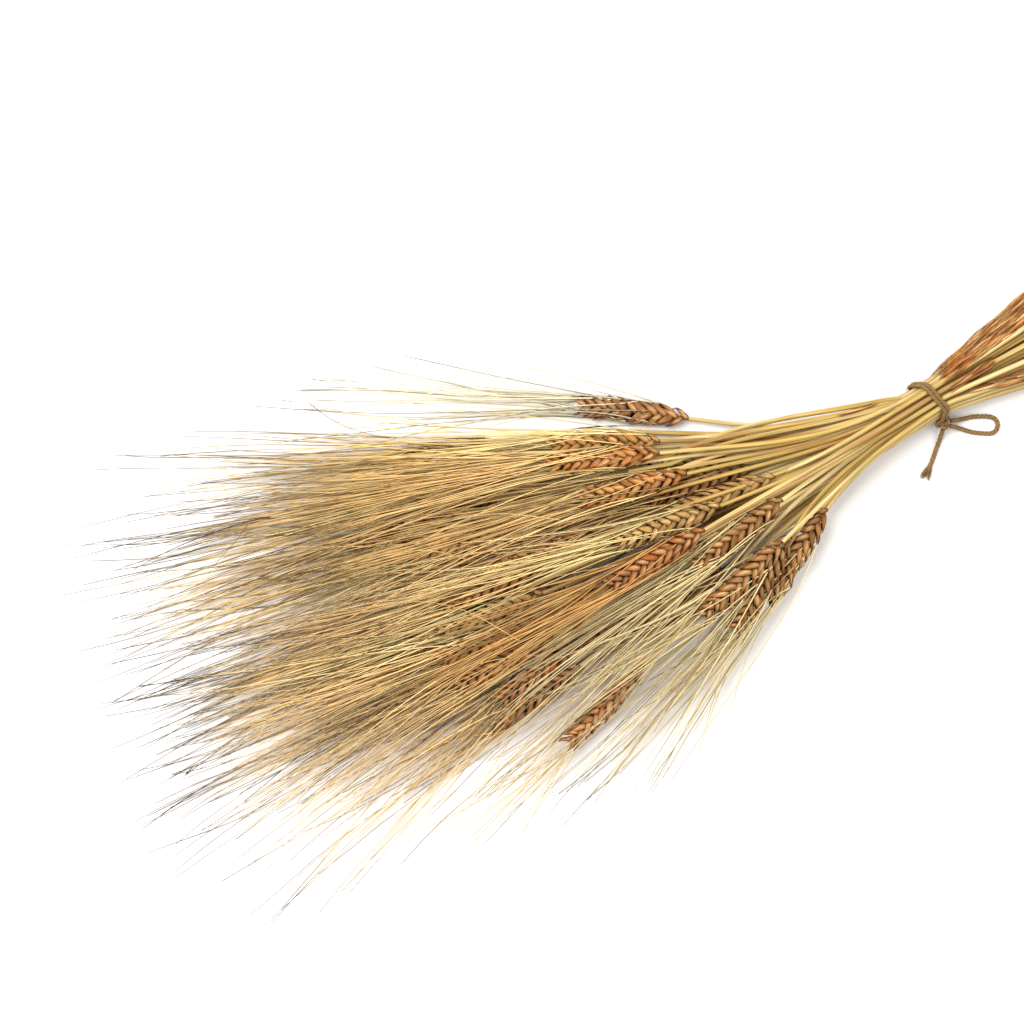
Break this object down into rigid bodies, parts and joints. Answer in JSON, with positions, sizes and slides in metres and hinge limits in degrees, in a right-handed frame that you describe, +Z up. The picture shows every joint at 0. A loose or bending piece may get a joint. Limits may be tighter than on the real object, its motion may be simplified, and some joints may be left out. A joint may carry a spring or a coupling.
{
  "type": "wheat bunch",
  "caption": "Tied bunch of dried bearded wheat lying flat: straw stems, ripe ears and long awns held by a twine tie with a bow.",
  "frame": {"origin": "on the table, under the middle of the twine tie", "axes": "+Z up from the table; +X along the bunch towards the cut ends, so the ears and awns point to -X"},
  "size_m": [0.634, 0.3018, 0.0486],
  "materials": {
    "golden_wheat": "dry satin straw with golden ears and awns",
    "rusty_wheat": "dry satin straw with red brown ears and awns",
    "jute_twine": "matte hairy twisted jute"
  },
  "bodies": {
    "root": {"wheat_stalk_01": "golden_wheat", "wheat_stalk_02": "golden_wheat", "wheat_stalk_03": "golden_wheat", "wheat_stalk_04": "golden_wheat", "wheat_stalk_05": "golden_wheat", "wheat_stalk_06": "golden_wheat", "wheat_stalk_07": "golden_wheat", "wheat_stalk_08": "golden_wheat", "wheat_stalk_09": "rusty_wheat", "wheat_stalk_10": "rusty_wheat", "wheat_stalk_11": "rusty_wheat", "wheat_stalk_12": "golden_wheat", "wheat_stalk_13": "golden_wheat", "wheat_stalk_14": "rusty_wheat", "wheat_stalk_15": "rusty_wheat", "wheat_stalk_16": "rusty_wheat", "wheat_stalk_17": "rusty_wheat", "wheat_stalk_18": "golden_wheat", "wheat_stalk_19": "golden_wheat", "wheat_stalk_20": "golden_wheat", "wheat_stalk_21": "golden_wheat", "wheat_stalk_22": "rusty_wheat", "wheat_stalk_23": "golden_wheat", "wheat_stalk_24": "golden_wheat", "wheat_stalk_25": "golden_wheat", "wheat_stalk_26": "rusty_wheat", "twine_tie": "jute_twine", "twine_bow": "jute_twine", "twine_tail": "jute_twine"}
  },
  "joints": []
}
